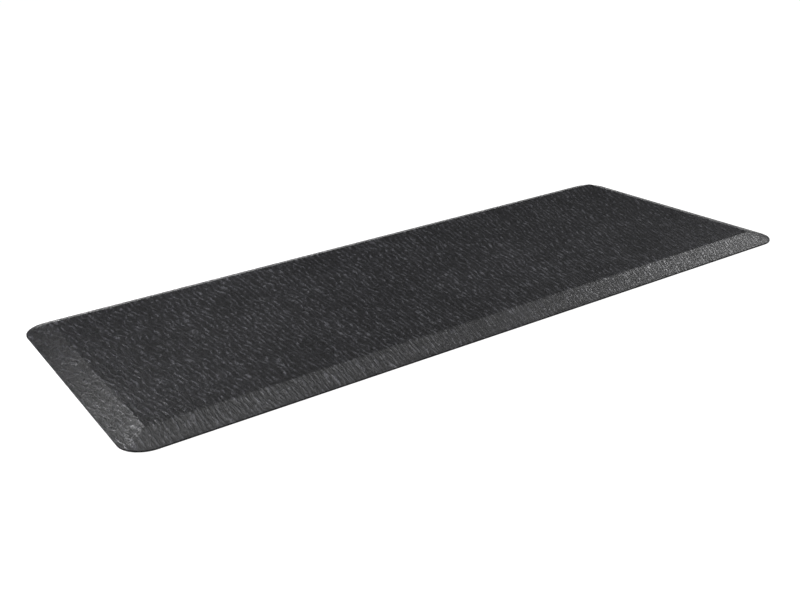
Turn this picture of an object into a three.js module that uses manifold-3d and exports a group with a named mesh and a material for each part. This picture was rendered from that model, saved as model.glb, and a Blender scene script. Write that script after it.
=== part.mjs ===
// Anti-fatigue floor mat for a standing desk or counter.
// A soft foam body in two layers lies in an embossed cover, and a thin rubber sheet closes the
// underside. All four sides ramp down to a low edge, so that nobody trips on the mat.
// Millimetres, +Z up, X along the length. The origin is the middle of the underside.

import * as THREE from 'three';
import * as BufferGeometryUtils from 'three/addons/utils/BufferGeometryUtils.js';
import { LoftGeometry } from 'three/addons/geometries/LoftGeometry.js';
import Module from 'manifold-3d';

// Outside of the mat
const MAT_LENGTH = 1524;
const MAT_WIDTH = 609.6;
const MAT_HEIGHT = 19.05;
const BEVEL_WIDTH = 48;
const CORNER_RADIUS = 50;
const CREST_RADIUS = 6;

// Layers, from the floor up
const BASE_THICKNESS = 2;
const BASE_CHAMFER = 0.4;
const EDGE_HEIGHT = 3;
const COVER_THICKNESS = 1.2;
const HEM_THICKNESS = 1;
const HEM_WIDTH = 16;
const COMFORT_THICKNESS = 7;
const GAP = 0.3;

// Facets
const CORNER_DIVISIONS = 5;
const CREST_FACETS = 3;

// The cover starts one gap above the base sheet. Its upright edge ends at EDGE_HEIGHT, where
// the ramp begins.
const COVER_BOTTOM = BASE_THICKNESS + GAP;
const BEVEL_ANGLE = Math.atan2(MAT_HEIGHT - EDGE_HEIGHT, BEVEL_WIDTH);

// Height of the ramp's surface at a distance in from the mat's edge, and the distance in at
// which it reaches a height. depth is how far under the outer surface the surface lies.
function rampHeight(inset, depth) {
  return EDGE_HEIGHT - depth / Math.cos(BEVEL_ANGLE) + inset * Math.tan(BEVEL_ANGLE);
}

function rampInset(height, depth) {
  return (height - rampHeight(0, depth)) / Math.tan(BEVEL_ANGLE);
}

// One level outline of the mat, set in from its edge. The corner arcs of all outlines share
// their centres, so a ramp between two outlines is flat along the sides and conical round
// the corners.
function outline(inset, height) {
  const radius = CORNER_RADIUS - inset;
  const x = MAT_LENGTH / 2 - CORNER_RADIUS;
  const y = MAT_WIDTH / 2 - CORNER_RADIUS;
  const shape = new THREE.Shape();
  shape.absarc(x, y, radius, 0, Math.PI / 2);
  shape.absarc(-x, y, radius, Math.PI / 2, Math.PI);
  shape.absarc(-x, -y, radius, Math.PI, 1.5 * Math.PI);
  shape.absarc(x, -y, radius, 1.5 * Math.PI, 2 * Math.PI);
  return shape.getPoints(CORNER_DIVISIONS).map((p) => new THREE.Vector3(p.x, p.y, height));
}

// A closed body through a list of [inset, height] pairs, from the floor up.
function layered(profile) {
  const sections = profile.map(([inset, height]) => outline(inset, height));
  return new LoftGeometry(sections, { capStart: true, capEnd: true });
}

// The rounded crest between the ramp and the flat top, as [inset, height] pairs.
function crest(radius) {
  const centreInset = BEVEL_WIDTH + radius * Math.tan(BEVEL_ANGLE / 2);
  const pairs = [];
  for (let i = 0; i <= CREST_FACETS; i += 1) {
    const angle = BEVEL_ANGLE * (1 - i / CREST_FACETS);
    const inset = centreInset - radius * Math.sin(angle);
    pairs.push([inset, MAT_HEIGHT - radius * (1 - Math.cos(angle))]);
  }
  return pairs;
}

const wasm = await Module();
wasm.setup();

function toManifold(geometry) {
  const bare = new THREE.BufferGeometry();
  bare.setAttribute('position', geometry.attributes.position);
  bare.setIndex(geometry.index);
  const merged = BufferGeometryUtils.mergeVertices(bare);
  return new wasm.Manifold(new wasm.Mesh({
    numProp: 3,
    vertProperties: new Float32Array(merged.attributes.position.array),
    triVerts: new Uint32Array(merged.index.array),
  }));
}

function toGeometry(manifold) {
  const mesh = manifold.getMesh();
  const geometry = new THREE.BufferGeometry();
  geometry.setAttribute('position', new THREE.BufferAttribute(mesh.vertProperties, 3));
  geometry.setIndex(new THREE.BufferAttribute(mesh.triVerts, 1));
  geometry.computeVertexNormals();
  return geometry;
}

// Non-slip rubber sheet. Its lower edge is chamfered and its underside lies on the floor.
function baseSheet() {
  return layered([
    [BASE_CHAMFER, 0],
    [0, BASE_CHAMFER],
    [0, BASE_THICKNESS],
  ]);
}

// Embossed cover over the top and the ramps. It turns in under the foam as a flat hem, and
// the opening inside the hem is where the foam goes in.
function topCover() {
  const hemTop = COVER_BOTTOM + HEM_THICKNESS;
  const ceiling = MAT_HEIGHT - COVER_THICKNESS;
  const outside = layered([
    [0, COVER_BOTTOM],
    [0, EDGE_HEIGHT],
    ...crest(CREST_RADIUS),
  ]);
  const inside = layered([
    [HEM_WIDTH, 0],
    [HEM_WIDTH, hemTop],
    [rampInset(hemTop, COVER_THICKNESS), hemTop],
    [rampInset(ceiling, COVER_THICKNESS), ceiling],
  ]);
  return toGeometry(toManifold(outside).subtract(toManifold(inside)));
}

// Firm foam that carries the weight. It is rebated round its lower edge for the cover's hem.
function supportCore() {
  const depth = COVER_THICKNESS + GAP;
  const rebate = COVER_BOTTOM + HEM_THICKNESS + GAP;
  const top = MAT_HEIGHT - depth - COMFORT_THICKNESS - GAP;
  return layered([
    [HEM_WIDTH + GAP, COVER_BOTTOM],
    [HEM_WIDTH + GAP, rebate],
    [rampInset(rebate, depth), rebate],
    [rampInset(top, depth), top],
  ]);
}

// Soft foam right under the cover, over the firm core.
function comfortFoam() {
  const depth = COVER_THICKNESS + GAP;
  const top = MAT_HEIGHT - depth;
  const bottom = top - COMFORT_THICKNESS;
  return layered([
    [rampInset(bottom, depth), bottom],
    [rampInset(top, depth), top],
  ]);
}

// The foam is dyed through and the two skins are charcoal.
const materials = {
  cover: new THREE.MeshStandardMaterial({ color: 0x2b2b2d, roughness: 0.55, metalness: 0 }),
  softFoam: new THREE.MeshStandardMaterial({ color: 0x77777a, roughness: 0.95, metalness: 0 }),
  firmFoam: new THREE.MeshStandardMaterial({ color: 0x4a4a4d, roughness: 0.95, metalness: 0 }),
  rubber: new THREE.MeshStandardMaterial({ color: 0x161617, roughness: 0.8, metalness: 0 }),
};

function piece(name, geometry, material) {
  const mesh = new THREE.Mesh(geometry, material);
  mesh.name = name;
  return mesh;
}

const group = new THREE.Group();
group.add(
  piece('base_sheet', baseSheet(), materials.rubber),
  piece('support_core', supportCore(), materials.firmFoam),
  piece('comfort_foam', comfortFoam(), materials.softFoam),
  piece('top_cover', topCover(), materials.cover),
);

export default group;
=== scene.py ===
"""Cushioned standing mat: a grained cover on two layers of foam, with a rubber sheet beneath.

Metres, +Z up, the mat lying on the floor with its length along X. Every piece is made in place,
so its object stays at the origin.
"""

import math

import bmesh
import bpy
import numpy as np
from mathutils import Matrix, Vector


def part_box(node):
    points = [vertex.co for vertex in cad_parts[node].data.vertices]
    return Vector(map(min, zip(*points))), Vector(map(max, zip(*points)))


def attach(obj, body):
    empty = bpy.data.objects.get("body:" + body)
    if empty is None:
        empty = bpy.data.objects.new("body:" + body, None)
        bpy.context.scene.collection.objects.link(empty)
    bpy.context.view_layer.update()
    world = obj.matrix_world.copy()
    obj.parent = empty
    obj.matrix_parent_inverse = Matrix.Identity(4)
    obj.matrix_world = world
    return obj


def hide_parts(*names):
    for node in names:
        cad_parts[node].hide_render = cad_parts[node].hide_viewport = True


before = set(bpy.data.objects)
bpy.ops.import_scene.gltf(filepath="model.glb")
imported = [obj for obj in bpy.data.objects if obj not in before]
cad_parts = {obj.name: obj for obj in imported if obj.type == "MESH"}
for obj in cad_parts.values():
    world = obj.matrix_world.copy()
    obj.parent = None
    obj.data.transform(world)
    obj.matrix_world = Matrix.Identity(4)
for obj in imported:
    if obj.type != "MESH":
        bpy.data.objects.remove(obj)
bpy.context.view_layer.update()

# Places of the layers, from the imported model
COVER_LOW, COVER_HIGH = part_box("top_cover")
BASE_LOW, BASE_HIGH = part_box("base_sheet")
CORE_LOW, CORE_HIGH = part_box("support_core")
SOFT_LOW, SOFT_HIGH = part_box("comfort_foam")
HALF_LENGTH = COVER_HIGH.x
HALF_WIDTH = COVER_HIGH.y
TOP = COVER_HIGH.z

# Shape of the mat, as the solids have it
RAMP_WIDTH = 0.048
CORNER_RADIUS = 0.050
EDGE_HEIGHT = 0.003
CREST_RADIUS = 0.006
COVER_THICKNESS = 0.0012
HEM_THICKNESS = 0.001
HEM_WIDTH = 0.016
GAP = 0.0003
RAMP_ANGLE = math.atan2(TOP - EDGE_HEIGHT, RAMP_WIDTH)

# Cover grid: whole steps fit the ramp, so a grid line lies on each crest
STEP_X = 0.0012
STEP_Y = 0.0024

# Rounding where the cover turns down at its lip and under into the hem
LIP_RADIUS = 0.0004
LIP_TURN = LIP_RADIUS * 0.3
HEM_TURN = LIP_RADIUS * 0.4

# Creased grain of the cover, which fades out at the lip
GRAIN_TILT = math.radians(9)
GRAIN_FAN = math.radians(18)
CREASE_LENGTH = 0.022
CREASE_PITCH = 0.0112
GRAIN_DEPTH = 0.0009
GRAIN_FADE = 0.004

# Random waves repeat after so many, and the gain brings them to about -1 to 1
WAVE_LATTICE = 512
WAVE_GAIN = 1.5

# Wander of the creases and the soft sway of the whole top: height in metres, waves in a metre
# of x and y, and seed
BEND = (0.0050, 1 / 0.060, 1 / 0.070, 11)
WRIGGLE = (0.0010, 1 / 0.014, 1 / 0.018, 12)
SLIP = (0.0060, 1 / 0.016, 1 / 0.030, 13)
SWAY = (0.00018, 1 / 0.13, 1 / 0.11, 21)
SWAY_FADE = 0.02

# Shape of the crests and of the ridges between them: height, waves in a crease's pitch and in
# its length, and seed
LONG_DRIFT = (0.50, 0.8, 0.6, 17)
SHORT_DRIFT = (0.22, 1.9, 1.5, 19)
BREAKS = (1.0, 1.0, 1.0, 20)
RIDGES = (2.2, 2.6, 2.4, 18)
CREST_SHARPNESS = 1.5

# Sizes of the finer marks in the skin, in metres across and along the creases
WRINKLE_SIZE = (0.0042, 0.013)
PEBBLE_SIZE = (0.0019, 0.0030)
# The rub marks are painted glints as well as wear
RUB_AND_GLINT_SIZE = (0.0052, 0.018)

# Grip pattern under the base sheet
GRIP_BORDER = 0.012
GRIP_PITCH = 0.012
GRIP_GROOVE = 0.0016
GRIP_DEPTH = 0.0007
GRIP_DRAFT = 0.0004
BORDER_CUTS = 3

# Facets round a corner of the foam, and the angle from which an edge stays crisp
FOAM_CORNER_SEGMENTS = 24
CRISP_EDGE = math.radians(50)

# Camera, beyond the front left corner
CAMERA_PLACE = (-1.1239, -1.6438, 0.7870)
CAMERA_HEADING = math.radians(32.77)
CAMERA_FALL = math.radians(22.53)
CAMERA_ROLL = math.radians(2.70)
CAMERA_LENS = 45.55

# Studio: the softboxes have a name, a place, the point that they face, a size and a power
FLOOR_HALF = 30
OVERHEAD_SPREAD = math.radians(50)
OVERHEAD_STRENGTH = 2.8
LEFT_END = (-0.74, -0.20, 0)
MIDDLE = (0, 0, 0)
SOFTBOXES = (
    ("left_box", (-1.00, 0.75, 0.85), LEFT_END, (0.4, 0.3), 4.8),
    ("back_left_box", (-0.10, 1.06, 0.68), LEFT_END, (0.5, 0.25), 0.2),
    ("back_box", (1.5, 3.2, 3.5), MIDDLE, (1.7, 0.55), 5),
    ("back_right_box", (3.1, 3.1, 2.5), MIDDLE, (1.7, 0.55), 1.5),
    ("right_box", (4.3, 0.6, 2.5), MIDDLE, (1.7, 0.55), 46),
)


# ---------------------------------------------------------------- waves

def fade(t):
    return t * t * t * (t * (6 * t - 15) + 10)


def smoothstep(low, high, value):
    t = np.clip((value - low) / (high - low), 0, 1)
    return t * t * (3 - 2 * t)


def waves(x, y, height, per_x, per_y, seed):
    """Smooth random waves of about -1 to 1 times a height, with so many to a unit of x and y."""
    x = x * per_x
    y = y * per_y
    slots = (WAVE_LATTICE, WAVE_LATTICE)
    angles = np.random.default_rng(seed).random(slots) * 2 * math.pi
    i, j = np.floor(x).astype(int), np.floor(y).astype(int)
    fx, fy = x - i, y - j
    total = np.zeros_like(x)
    for di in (0, 1):
        for dj in (0, 1):
            angle = angles[(i + di) % WAVE_LATTICE, (j + dj) % WAVE_LATTICE]
            slope = np.cos(angle) * (fx - di) + np.sin(angle) * (fy - dj)
            across = fade(fx) if di else 1 - fade(fx)
            along = fade(fy) if dj else 1 - fade(fy)
            total += slope * across * along
    return height * (total * WAVE_GAIN)


# ---------------------------------------------------------------- shape of the mat

def core_point(x, y, half_length, half_width, radius):
    """Nearest point of the rectangle that lies a corner radius inside an outline."""
    core_x = np.clip(x, radius - half_length, half_length - radius)
    core_y = np.clip(y, radius - half_width, half_width - radius)
    return core_x, core_y


def edge_distance(x, y):
    """How far in from the mat's outline a point lies, up to the corner radius."""
    core_x, core_y = core_point(x, y, HALF_LENGTH, HALF_WIDTH, CORNER_RADIUS)
    return CORNER_RADIUS - np.hypot(x - core_x, y - core_y)


def set_in(x, y, distance):
    """A point on the mat's outline, moved in from the edge by a distance under the corner radius."""
    core_x, core_y = core_point(x, y, HALF_LENGTH, HALF_WIDTH, CORNER_RADIUS)
    keep = 1 - distance / np.hypot(x - core_x, y - core_y)
    return core_x + (x - core_x) * keep, core_y + (y - core_y) * keep


def round_corners(x, y, half_length, half_width, radius):
    """Moves points of a sharp rectangle so that its corners are round and all between follows."""
    core_x, core_y = core_point(x, y, half_length, half_width, radius)
    dx, dy = x - core_x, y - core_y
    corner = (dx != 0) & (dy != 0)
    reach = np.maximum(np.abs(dx), np.abs(dy))
    lesser = np.minimum(np.abs(dx), np.abs(dy))
    angle = np.where(corner, math.pi / 4 * lesser / np.where(corner, reach, 1), 0)
    longer, shorter = reach * np.cos(angle), reach * np.sin(angle)
    wide = np.abs(dx) >= np.abs(dy)
    new_x = core_x + np.sign(dx) * np.where(wide, longer, shorter)
    new_y = core_y + np.sign(dy) * np.where(wide, shorter, longer)
    return np.where(corner, new_x, x), np.where(corner, new_y, y)


def ramp_height(inset, depth=0.0):
    """Height of the ramp at a distance in from the edge, or of a layer that deep under it."""
    return EDGE_HEIGHT - depth / math.cos(RAMP_ANGLE) + inset * math.tan(RAMP_ANGLE)


def ramp_inset(height, depth):
    return (height - ramp_height(0, depth)) / math.tan(RAMP_ANGLE)


def skin_height(inset):
    """Height of the cover's outer surface, with the crest rounded."""
    centre = RAMP_WIDTH + CREST_RADIUS * math.tan(RAMP_ANGLE / 2)
    reach = CREST_RADIUS * math.sin(RAMP_ANGLE)
    arc = np.clip(centre - inset, 0, reach)
    crest = TOP - CREST_RADIUS + np.sqrt(CREST_RADIUS ** 2 - arc ** 2)
    return np.where(inset < centre - reach, ramp_height(inset), crest)


# ---------------------------------------------------------------- grain of the cover

def flow(x, y):
    """Metres across and along the creases, which fan out and wander over the mat."""
    fan = GRAIN_TILT + GRAIN_FAN * x / HALF_LENGTH
    across = x - y * np.tan(fan)
    wander = waves(across, y, *BEND) + waves(across, y, *WRIGGLE)
    return across + wander, y + waves(across, y, *SLIP)


def grain(across, along):
    """Relief of the cover: 1 on its crests and 0 in the creases. Half of it is rows of crests,
    which break off in places, and half is finer ridges that wander between them."""
    u, v = across / CREASE_PITCH, along / CREASE_LENGTH
    drift = waves(u, v, *LONG_DRIFT) + waves(u, v, *SHORT_DRIFT)
    crest = (0.5 + 0.5 * np.cos(2 * math.pi * (u + drift))) ** CREST_SHARPNESS
    whole = 0.5 + 0.5 * smoothstep(-0.5, 0.5, waves(u, v, *BREAKS))
    ridge = 1 - np.minimum(np.abs(waves(u, v, *RIDGES)), 1)
    return 0.5 * crest * whole + 0.5 * ridge


# ---------------------------------------------------------------- helpers for making pieces

def keep_piece(name, bm, material):
    """Turns a finished bmesh into a piece of the mat."""
    mesh = bpy.data.meshes.new(name)
    bm.to_mesh(mesh)
    bm.free()
    mesh.shade_smooth()
    mesh.set_sharp_from_angle(angle=CRISP_EDGE)
    mesh.materials.append(material)
    piece = bpy.data.objects.new(name, mesh)
    bpy.context.scene.collection.objects.link(piece)
    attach(piece, "root")
    return piece


def open_rim(bm):
    return [e for e in bm.edges if e.is_boundary]


def extrude_rings(bm, rings):
    """Carries the open rim on through [inset, height] pairs and returns the last rim's edges."""
    rim = open_rim(bm)
    for inset, height in rings:
        made = bmesh.ops.extrude_edge_only(bm, edges=rim)["geom"]
        rim = [g for g in made if isinstance(g, bmesh.types.BMEdge)]
        verts = [g for g in made if isinstance(g, bmesh.types.BMVert)]
        xs = np.array([v.co.x for v in verts])
        ys = np.array([v.co.y for v in verts])
        new_x, new_y = set_in(xs, ys, inset - edge_distance(xs, ys))
        for v, x, y in zip(verts, new_x, new_y):
            v.co = (x, y, height)
    return rim


def close_up(bm, rim):
    """Fills the last rim with one face, and points all faces outwards."""
    bmesh.ops.contextual_create(bm, geom=rim)
    bmesh.ops.recalc_face_normals(bm, faces=bm.faces)


# ---------------------------------------------------------------- helpers for materials

def new_material(name, specular):
    material = bpy.data.materials.new(name)
    material.use_nodes = True
    tree = material.node_tree
    shader = tree.nodes["Principled BSDF"]
    shader.inputs["Specular IOR Level"].default_value = specular
    return material, tree, shader


def node(tree, kind, **values):
    """A node with its settings and its input values given by name."""
    made = tree.nodes.new(kind)
    for name, value in values.items():
        if name in made.inputs:
            made.inputs[name].default_value = value
        else:
            setattr(made, name, value)
    return made


def mesh_place(tree):
    """The point's own place in metres."""
    return node(tree, "ShaderNodeTexCoord").outputs["Object"]


def sized(tree, vector, size):
    """Stretches a pattern's coordinates, so that one of its cells has this size."""
    made = node(tree, "ShaderNodeMapping", Scale=(1 / size[0], 1 / size[1], 1))
    tree.links.new(vector, made.inputs["Vector"])
    return made.outputs["Vector"]


def noise(tree, vector, scale, detail, roughness=0.5):
    made = node(tree, "ShaderNodeTexNoise", Scale=scale, Detail=detail, Roughness=roughness)
    tree.links.new(vector, made.inputs["Vector"])
    return made.outputs["Fac"]


def ranged(tree, value, low, high, new_low, new_high):
    """Carries a value from one range over to another, and holds it there beyond the ends."""
    made = node(tree, "ShaderNodeMapRange")
    made.inputs["From Min"].default_value = low
    made.inputs["From Max"].default_value = high
    made.inputs["To Min"].default_value = new_low
    made.inputs["To Max"].default_value = new_high
    tree.links.new(value, made.inputs["Value"])
    return made.outputs["Result"]


def sum_of(tree, *values):
    total = values[0]
    for value in values[1:]:
        made = node(tree, "ShaderNodeMath", operation="ADD")
        tree.links.new(total, made.inputs[0])
        tree.links.new(value, made.inputs[1])
        total = made.outputs[0]
    return total


def with_number(tree, operation, value, number=0.0):
    """A value plus, minus or times a plain number, or the value without its sign."""
    made = node(tree, "ShaderNodeMath", operation=operation)
    tree.links.new(value, made.inputs[0])
    made.inputs[1].default_value = number
    return made.outputs[0]


def borders(tree, vector, scale):
    """Distance from the nearest border between the cells of a random web."""
    web = node(tree, "ShaderNodeTexVoronoi", feature="DISTANCE_TO_EDGE", Scale=scale)
    tree.links.new(vector, web.inputs["Vector"])
    return web.outputs["Distance"]


def furrows(tree, vector, size):
    """Wandering furrows: 0 in the furrow and 1 on the back beside it."""
    swell = noise(tree, sized(tree, vector, size), 1.0, 1)
    folded = with_number(tree, "ABSOLUTE", with_number(tree, "SUBTRACT", swell, 0.5))
    return ranged(tree, folded, 0, 0.16, 0, 1)


def pebbles(tree, vector, size):
    """Small rounded pads: 1 on their backs and 0 in the creases between them."""
    return ranged(tree, borders(tree, sized(tree, vector, size), 1.0), 0, 0.2, 0, 1)


def shaded(tree, value, stops, tint=1.0):
    """Greys between (position, brightness) stops, with the blue raised by a tint."""
    ramp = node(tree, "ShaderNodeValToRGB")
    points = ramp.color_ramp.elements
    while len(points) < len(stops):
        points.new(0.5)
    for point, (position, grey) in zip(points, stops):
        point.position = position
        point.color = (grey, grey, grey * tint, 1)
    tree.links.new(value, ramp.inputs["Fac"])
    return ramp.outputs["Color"]


def bumped(tree, shader, height, distance):
    made = node(tree, "ShaderNodeBump", Distance=distance)
    tree.links.new(height, made.inputs["Height"])
    tree.links.new(made.outputs["Normal"], shader.inputs["Normal"])


# ---------------------------------------------------------------- finishes

def cover_material():
    """Charcoal polyurethane skin: satin on the crests, dull in the creases, and pebbled all over.
    Its colour holds painted light: a painted highlight with a little wear on the crests, and painted
    shade in the creases."""
    material, tree, shader = new_material("grained_charcoal_skin", specular=0.35)
    crests = node(tree, "ShaderNodeAttribute", attribute_name="grain").outputs["Fac"]
    lie = node(tree, "ShaderNodeAttribute", attribute_name="flow").outputs["Vector"]
    patches = noise(tree, mesh_place(tree), scale=7.0, detail=3)
    mottle = noise(tree, mesh_place(tree), scale=120.0, detail=4, roughness=0.6)
    # Rub dashes: wear on the crests and painted glints along them
    rub_and_glint = noise(tree, sized(tree, lie, RUB_AND_GLINT_SIZE), scale=1.0, detail=2, roughness=0.6)
    wrinkle = furrows(tree, lie, WRINKLE_SIZE)
    pebble = pebbles(tree, lie, PEBBLE_SIZE)
    tone = sum_of(
        tree,
        # Painted highlight on the crests, with a little wear, and painted shade in the creases
        # between them
        ranged(tree, crests, 0.1, 0.9, 0, 0.56),
        # Painted glints as well as wear, in bright dashes along the creases
        ranged(tree, rub_and_glint, 0.40, 0.64, 0, 0.08),
        # Painted shade in the wrinkle furrows and in the creases between the pebbles
        ranged(tree, wrinkle, 0, 1, 0, 0.09),
        ranged(tree, pebble, 0, 1, 0, 0.07),
        ranged(tree, patches, 0.3, 0.7, 0, 0.10),
    )
    skin = shaded(tree, tone, ((0.16, 0.004), (0.46, 0.023), (0.80, 0.125)), tint=1.1)
    tree.links.new(skin, shader.inputs["Base Color"])
    dull = sum_of(
        tree,
        ranged(tree, crests, 0.15, 0.75, 0.22, 0),
        ranged(tree, mottle, 0.3, 0.7, 0.19, 0.29),
    )
    tree.links.new(dull, shader.inputs["Roughness"])
    relief = sum_of(tree, wrinkle, with_number(tree, "MULTIPLY", pebble, 0.5))
    bumped(tree, shader, relief, 0.00018)
    return material


def rubber_material():
    """Matt black rubber with a faint bloom and a fine moulded grit."""
    material, tree, shader = new_material("matt_black_rubber", specular=0.2)
    bloom = noise(tree, mesh_place(tree), scale=22.0, detail=4, roughness=0.6)
    grit = noise(tree, mesh_place(tree), scale=1400.0, detail=3)
    black = shaded(tree, bloom, ((0.3, 0.006), (0.75, 0.015)), tint=1.05)
    tree.links.new(black, shader.inputs["Base Color"])
    tree.links.new(ranged(tree, bloom, 0.3, 0.7, 0.66, 0.84), shader.inputs["Roughness"])
    bumped(tree, shader, grit, 0.00006)
    return material


def foam_material(name, dark, pale, cell_scale):
    """Cut foam: a web of small open cells, darkened with painted shade inside the cells."""
    material, tree, shader = new_material(name, specular=0.2)
    pores = ranged(tree, borders(tree, mesh_place(tree), cell_scale), 0, 0.3, 1, 0)
    cloud = noise(tree, mesh_place(tree), scale=30.0, detail=4)
    # Painted shade: the open cells darker than the pale walls between them
    half_pores = with_number(tree, "MULTIPLY", pores, 0.5)
    half_cloud = with_number(tree, "MULTIPLY", cloud, 0.5)
    tone = sum_of(tree, half_pores, half_cloud)
    grey = shaded(tree, tone, ((0.2, dark), (0.8, pale)), tint=1.05)
    tree.links.new(grey, shader.inputs["Base Color"])
    tree.links.new(ranged(tree, cloud, 0.3, 0.7, 0.86, 0.97), shader.inputs["Roughness"])
    bumped(tree, shader, pores, 0.0002)
    return material


def floor_material():
    """Pale painted studio floor."""
    material, tree, shader = new_material("pale_floor", specular=0.0)
    cloud = noise(tree, mesh_place(tree), scale=3.0, detail=3)
    paint = shaded(tree, cloud, ((0.3, 0.88), (0.7, 0.90)))
    tree.links.new(paint, shader.inputs["Base Color"])
    shader.inputs["Roughness"].default_value = 0.9
    shader.inputs["Emission Color"].default_value = (1, 1, 1, 1)
    shader.inputs["Emission Strength"].default_value = 0.21
    return material


# ---------------------------------------------------------------- pieces

def top_cover(material):
    """The grained skin. A fine grid is rounded at its corners, ramped and creased, and its rim is
    then carried down, under and back up inside as the hem and the lining."""
    bm = bmesh.new()
    bmesh.ops.create_grid(
        bm,
        x_segments=round(2 * HALF_LENGTH / STEP_X),
        y_segments=round(2 * HALF_WIDTH / STEP_Y),
        size=1,
    )
    mesh = bpy.data.meshes.new("cover_sheet")
    bm.to_mesh(mesh)
    bm.free()
    flat = np.empty(len(mesh.vertices) * 3)
    mesh.vertices.foreach_get("co", flat)
    place = flat.reshape(-1, 3)
    x, y = place[:, 0] * HALF_LENGTH, place[:, 1] * HALF_WIDTH
    x, y = round_corners(x, y, HALF_LENGTH, HALF_WIDTH, CORNER_RADIUS)
    inset = edge_distance(x, y)
    across, along = flow(x, y)
    crests = grain(across, along)
    creases = GRAIN_DEPTH * (1 - crests) * smoothstep(0.0, GRAIN_FADE, inset)
    sway = waves(x, y, *SWAY) * smoothstep(0.0, SWAY_FADE, inset)
    place[:, 0], place[:, 1] = x, y
    place[:, 2] = skin_height(inset) - creases + sway
    on_edge = inset < STEP_X / 2
    place[on_edge, 0], place[on_edge, 1] = set_in(x[on_edge], y[on_edge], LIP_RADIUS)
    mesh.vertices.foreach_set("co", place.ravel())
    stored = mesh.attributes.new("grain", "FLOAT", "POINT")
    stored.data.foreach_set("value", crests.astype(np.float32))
    lie = np.stack([across, along, np.zeros_like(x)], -1)
    stored = mesh.attributes.new("flow", "FLOAT_VECTOR", "POINT")
    stored.data.foreach_set("vector", lie.astype(np.float32).ravel())

    bm = bmesh.new()
    bm.from_mesh(mesh)
    bpy.data.meshes.remove(mesh)
    hem_top = COVER_LOW.z + HEM_THICKNESS
    ceiling = TOP - COVER_THICKNESS
    rim = extrude_rings(bm, [
        (LIP_TURN, EDGE_HEIGHT - LIP_TURN),
        (0, EDGE_HEIGHT - LIP_RADIUS),
        (0, COVER_LOW.z + HEM_TURN),
        (HEM_TURN, COVER_LOW.z),
        (HEM_WIDTH, COVER_LOW.z),
        (HEM_WIDTH, hem_top),
        (ramp_inset(hem_top, COVER_THICKNESS), hem_top),
        (ramp_inset(ceiling, COVER_THICKNESS), ceiling),
    ])
    close_up(bm, rim)
    piece = keep_piece("cover", bm, material)
    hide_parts("top_cover")


def base_sheet(material):
    """The rubber sheet. Its underside is a grid of small square pads with grooves between them,
    inside a plain border."""
    half_length = HALF_LENGTH - GRIP_BORDER
    half_width = HALF_WIDTH - GRIP_BORDER
    bm = bmesh.new()
    bmesh.ops.create_grid(
        bm,
        x_segments=round(2 * half_length / GRIP_PITCH),
        y_segments=round(2 * half_width / GRIP_PITCH),
        size=1,
    )
    xs = np.array([v.co.x for v in bm.verts]) * half_length
    ys = np.array([v.co.y for v in bm.verts]) * half_width
    xs, ys = round_corners(xs, ys, half_length, half_width, CORNER_RADIUS - GRIP_BORDER)
    for v, x, y in zip(bm.verts, xs, ys):
        v.co = (x, y, GRIP_DEPTH)
    pads = list(bm.faces)
    bmesh.ops.inset_individual(bm, faces=pads, thickness=GRIP_GROOVE / 2, use_even_offset=True)
    made = bmesh.ops.extrude_discrete_faces(bm, faces=pads)["faces"]
    for v in {v for f in made for v in f.verts}:
        v.co.z = 0
    for f in made:
        middle = f.calc_center_median()
        for v in f.verts:
            v.co += (middle - v.co).normalized() * GRIP_DRAFT
    bmesh.ops.subdivide_edges(bm, edges=open_rim(bm), cuts=BORDER_CUTS)
    rim = extrude_rings(bm, [
        (GRIP_BORDER - GRIP_DRAFT, BASE_LOW.z),
        (GRIP_DRAFT, BASE_LOW.z),
        (0, BASE_LOW.z + GRIP_DRAFT),
        (0, BASE_HIGH.z - GRIP_DRAFT / 2),
        (GRIP_DRAFT / 2, BASE_HIGH.z),
    ])
    close_up(bm, rim)
    piece = keep_piece("rubber_base", bm, material)
    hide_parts("base_sheet")


def foam_slab(name, material, solid, rings):
    """A slab of foam from its lowest outline up through the others."""
    bm = bmesh.new()
    bmesh.ops.create_grid(bm, x_segments=1, y_segments=1, size=1)
    for v in bm.verts:
        v.co = (v.co.x * HALF_LENGTH, v.co.y * HALF_WIDTH, 0)
    bmesh.ops.bevel(
        bm,
        geom=list(bm.verts),
        offset=CORNER_RADIUS,
        offset_type="OFFSET",
        affect="VERTICES",
        segments=FOAM_CORNER_SEGMENTS,
        profile=0.5,
        material=-1,
    )
    for v in bm.verts:
        x, y = set_in(np.array([v.co.x]), np.array([v.co.y]), rings[0][0])
        v.co = (x[0], y[0], rings[0][1])
    close_up(bm, extrude_rings(bm, rings[1:]))
    piece = keep_piece(name, bm, material)
    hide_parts(solid)


def firm_foam(material):
    """Firm core, rebated round its lower edge for the hem."""
    depth = COVER_THICKNESS + GAP
    rebate = COVER_LOW.z + HEM_THICKNESS + GAP
    foam_slab("firm_core", material, "support_core", [
        (HEM_WIDTH + GAP, CORE_LOW.z),
        (HEM_WIDTH + GAP, rebate),
        (ramp_inset(rebate, depth), rebate),
        (ramp_inset(CORE_HIGH.z, depth), CORE_HIGH.z),
    ])


def soft_foam(material):
    """Soft layer between the core and the cover."""
    depth = COVER_THICKNESS + GAP
    foam_slab("soft_layer", material, "comfort_foam", [
        (ramp_inset(SOFT_LOW.z, depth), SOFT_LOW.z),
        (ramp_inset(SOFT_HIGH.z, depth), SOFT_HIGH.z),
    ])


# ---------------------------------------------------------------- studio

def studio_floor():
    bm = bmesh.new()
    bmesh.ops.create_grid(bm, x_segments=1, y_segments=1, size=FLOOR_HALF)
    mesh = bpy.data.meshes.new("floor")
    bm.to_mesh(mesh)
    bm.free()
    mesh.materials.append(floor_material())
    floor = bpy.data.objects.new("floor", mesh)
    bpy.context.scene.collection.objects.link(floor)


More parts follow.
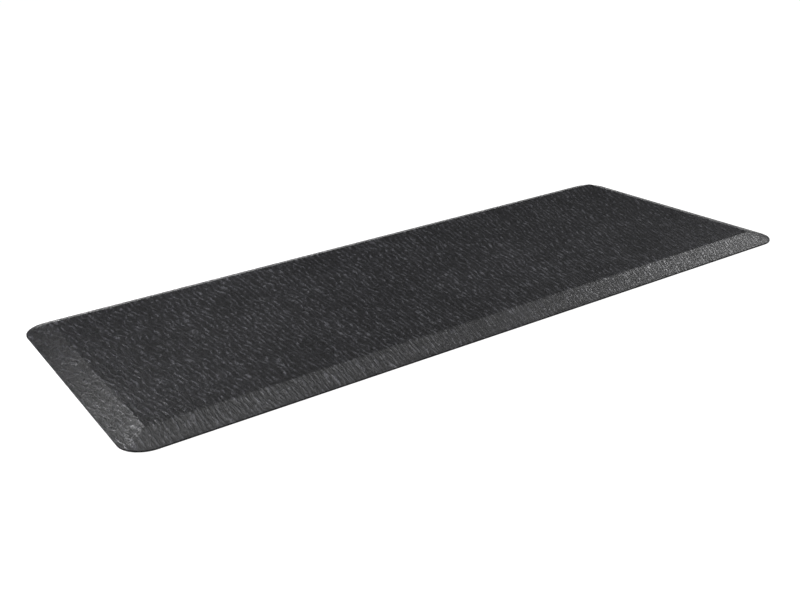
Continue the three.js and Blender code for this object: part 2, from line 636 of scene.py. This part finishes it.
def surroundings():
    """Pale room beyond the floor, which only the camera sees."""
    world = bpy.data.worlds.new("pale_room")
    world.use_nodes = True
    shell = world.node_tree.nodes["Background"]
    shell.inputs["Color"].default_value = (1, 1, 1, 1)
    shell.inputs["Strength"].default_value = 1.0
    bpy.context.scene.world = world
    world.cycles_visibility.diffuse = False
    world.cycles_visibility.glossy = False


def overhead():
    """Even light from above."""
    light = bpy.data.lights.new("overhead", "SUN")
    light.angle = OVERHEAD_SPREAD
    light.energy = OVERHEAD_STRENGTH
    lamp = bpy.data.objects.new("overhead", light)
    bpy.context.scene.collection.objects.link(lamp)


def softbox(name, place, target, size, power):
    """A soft area light that hangs at a place and faces a point of the mat."""
    light = bpy.data.lights.new(name, "AREA")
    light.shape = "RECTANGLE"
    light.size, light.size_y = size
    light.energy = power
    lamp = bpy.data.objects.new(name, light)
    lamp.location = place
    facing = Vector(target) - Vector(place)
    lamp.rotation_euler = facing.to_track_quat("-Z", "Y").to_euler()
    lamp.visible_camera = False
    bpy.context.scene.collection.objects.link(lamp)


def camera():
    """Looks across the mat from beyond its front left corner."""
    data = bpy.data.cameras.new("camera")
    data.lens = CAMERA_LENS
    data.sensor_width = 36
    eye = bpy.data.objects.new("camera", data)
    heading = Matrix.Rotation(-CAMERA_HEADING, 4, "Z")
    tilt = Matrix.Rotation(math.pi / 2 - CAMERA_FALL, 4, "X")
    roll = Matrix.Rotation(-CAMERA_ROLL, 4, "Z")
    eye.matrix_world = Matrix.Translation(CAMERA_PLACE) @ (heading @ tilt) @ roll
    bpy.context.scene.collection.objects.link(eye)
    bpy.context.scene.camera = eye


def build():
    camera()
    base_sheet(rubber_material())
    firm_foam(foam_material("firm_dark_foam", dark=0.03, pale=0.09, cell_scale=900.0))
    soft_foam(foam_material("soft_grey_foam", dark=0.09, pale=0.24, cell_scale=600.0))
    top_cover(cover_material())
    studio_floor()
    surroundings()
    overhead()
    for box in SOFTBOXES:
        softbox(*box)
    bpy.context.scene.view_settings.view_transform = "Standard"


build()
